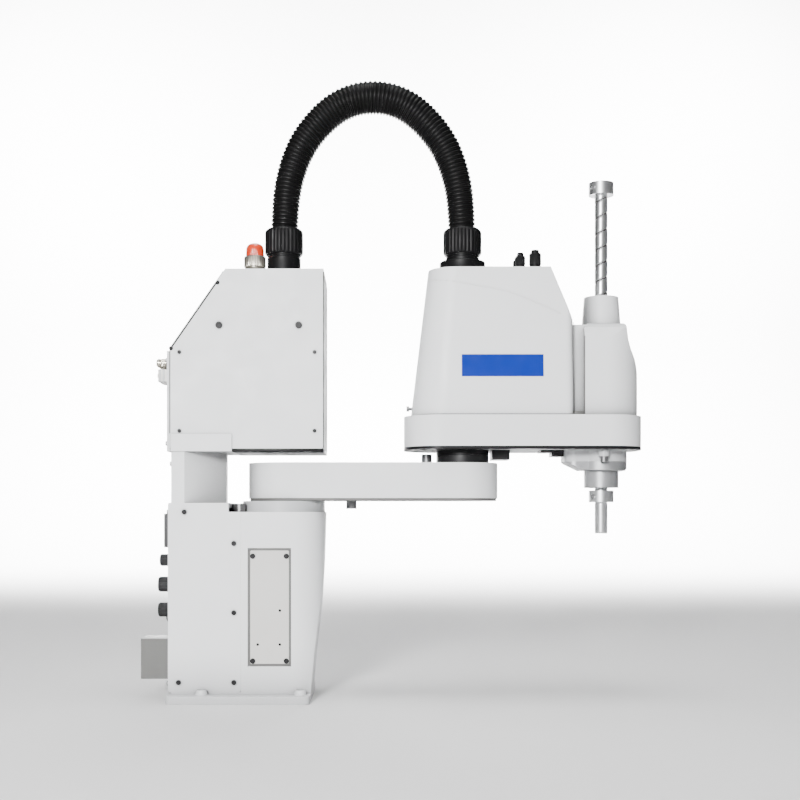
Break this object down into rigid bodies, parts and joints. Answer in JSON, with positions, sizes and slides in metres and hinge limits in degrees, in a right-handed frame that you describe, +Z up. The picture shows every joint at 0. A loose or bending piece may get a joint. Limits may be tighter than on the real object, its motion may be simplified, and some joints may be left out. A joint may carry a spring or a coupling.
{
  "type": "scara robot arm",
  "caption": "Tabletop SCARA robot arm: two links that swing in a plane, and a hollow shaft that lifts and turns, fed by an arched cable duct.",
  "frame": {"origin": "on the first joint's axis, in the plane that the foot stands on", "axes": "+Z up along the joint axes, +X along the straight arm from the first joint to the shaft, +Y to the left of the arm"},
  "size_m": [0.6245, 0.15, 0.7718],
  "materials": {
    "white_paint": "fine satin white paint",
    "white_cover": "fine-grained white moulding",
    "grey_window": "warm light grey sheet",
    "grey_panel": "satin light grey",
    "grey_cover": "mid grey moulding",
    "dark_metal": "blackened steel",
    "dark_plastic": "dark grey connector plastic",
    "black_plastic": "black nylon",
    "black_duct": "black flexible conduit",
    "cast_alloy": "machined cast aluminium",
    "bright_steel": "ground and hardened steel",
    "screw_steel": "black-oxide and plated screws",
    "motor_black": "black motor housing",
    "board_green": "circuit board",
    "belt_rubber": "toothed belt rubber",
    "orange_lens": "orange translucent lens",
    "pale_plastic": "pale moulded plastic",
    "fitting_brass": "nickel-plated brass",
    "button_green": "pale button"
  },
  "bodies": {
    "root": {"base_casting": "white_paint", "base_side_covers": "white_paint", "base_window_plates": "grey_window", "base_rear_panel": "white_paint", "io_terminal_strip": "dark_plastic", "round_connectors": "dark_metal", "power_inlet_hood": "grey_cover", "power_inlet": "black_plastic", "j1_motor": "motor_black", "j1_gearhead": "grey_panel", "power_supply": "cast_alloy", "control_boards": "board_green", "deck_blocks": "dark_metal", "housing_screws": "screw_steel", "neck_casting": "white_paint", "head_cover": "white_paint", "head_side_plates": "white_paint", "head_rear_panel": "white_paint", "head_slope_cover": "white_paint", "rear_air_fittings": "fitting_brass", "rear_user_connector": "pale_plastic", "lamp_socket": "fitting_brass", "lamp_lens": "orange_lens", "base_gland_body": "black_plastic", "base_gland_nut": "black_plastic"},
    "arm_1": {"arm_1_casting": "white_paint", "arm_1_belly_cover": "grey_panel", "j1_output_flange": "bright_steel", "arm_1_stop_screws": "screw_steel", "j2_gearhead": "dark_metal", "cable_duct": "black_duct"},
    "arm_2": {"arm_2_casting": "white_paint", "arm_2_cover": "white_cover", "j2_output_flange": "dark_metal", "j2_stop_block": "dark_metal", "belt_tension_block": "dark_metal", "top_air_fittings": "black_plastic", "top_user_connector": "pale_plastic", "brake_switch": "black_plastic", "arm_2_screws": "screw_steel", "j2_motor": "motor_black", "j3_j4_motors": "motor_black", "j3_brake": "motor_black", "motor_bracket": "cast_alloy", "drive_belts": "belt_rubber", "shaft_housing": "cast_alloy", "shaft_flange_plate": "grey_panel", "ball_nut_bearing": "cast_alloy", "arm_gland_body": "black_plastic", "arm_gland_nut": "black_plastic"},
    "brake_button": {"brake_button": "button_green"},
    "j3_pulley": {"j3_motor_pulley": "cast_alloy"},
    "j4_pulley": {"j4_motor_pulley": "cast_alloy"},
    "middle_pulley": {"j4_middle_pulley": "cast_alloy"},
    "spline_drive": {"spline_nut": "bright_steel"},
    "ball_drive": {"ball_nut": "bright_steel"},
    "shaft": {"spline_shaft": "bright_steel", "upper_stop_collar": "bright_steel", "lower_stop_collar": "bright_steel", "collar_clamp_screws": "screw_steel"}
  },
  "joints": [
    {"name": "j1_swing", "type": "hinge", "parent": "root", "child": "arm_1", "pos_m": [0, 0, 0.249], "axis": [0, 0, 1], "range_deg": [-132, 132]},
    {"name": "j2_elbow", "type": "hinge", "parent": "arm_1", "child": "arm_2", "pos_m": [0.225, 0, 0.3096], "axis": [0, 0, -1], "range_deg": [-141, 141]},
    {"name": "j4_turn", "type": "hinge", "parent": "arm_2", "child": "spline_drive", "pos_m": [0.4, 0, 0.3], "axis": [0, 0, 1], "range_deg": [-360, 360]},
    {"name": "j3_lift", "type": "slide", "parent": "spline_drive", "child": "shaft", "axis": [0, 0, 1], "range_m": [-0.15, 0]},
    {"name": "ball_nut_turn", "type": "hinge", "parent": "spline_drive", "child": "ball_drive", "pos_m": [0.4, 0, 0.36], "axis": [0, 0, 1], "range_deg": [0, 2700]},
    {"name": "j3_pulley_turn", "type": "hinge", "parent": "arm_2", "child": "j3_pulley", "pos_m": [0.3, -0.0215, 0.353], "axis": [0, 0, 1], "range_deg": [0, 5400]},
    {"name": "j4_pulley_turn", "type": "hinge", "parent": "arm_2", "child": "j4_pulley", "pos_m": [0.3, 0.0215, 0.343], "axis": [0, 0, 1], "range_deg": [-1440, 1440]},
    {"name": "middle_pulley_turn", "type": "hinge", "parent": "arm_2", "child": "middle_pulley", "pos_m": [0.346, 0.018, 0.335], "axis": [0, 0, 1], "range_deg": [-720, 720]},
    {"name": "brake_press", "type": "slide", "parent": "arm_2", "child": "brake_button", "axis": [0, 0, -1], "range_m": [0, 0.0018], "stiffness_N_per_m": 500}
  ],
  "couplings": [
    {"joint": "ball_nut_turn", "follows": "j3_lift", "rad_per_m": -314.16},
    {"joint": "j3_pulley_turn", "follows": "j3_lift", "rad_per_m": -628.32},
    {"joint": "j4_pulley_turn", "follows": "j4_turn", "ratio": 4},
    {"joint": "middle_pulley_turn", "follows": "j4_turn", "ratio": 2}
  ]
}
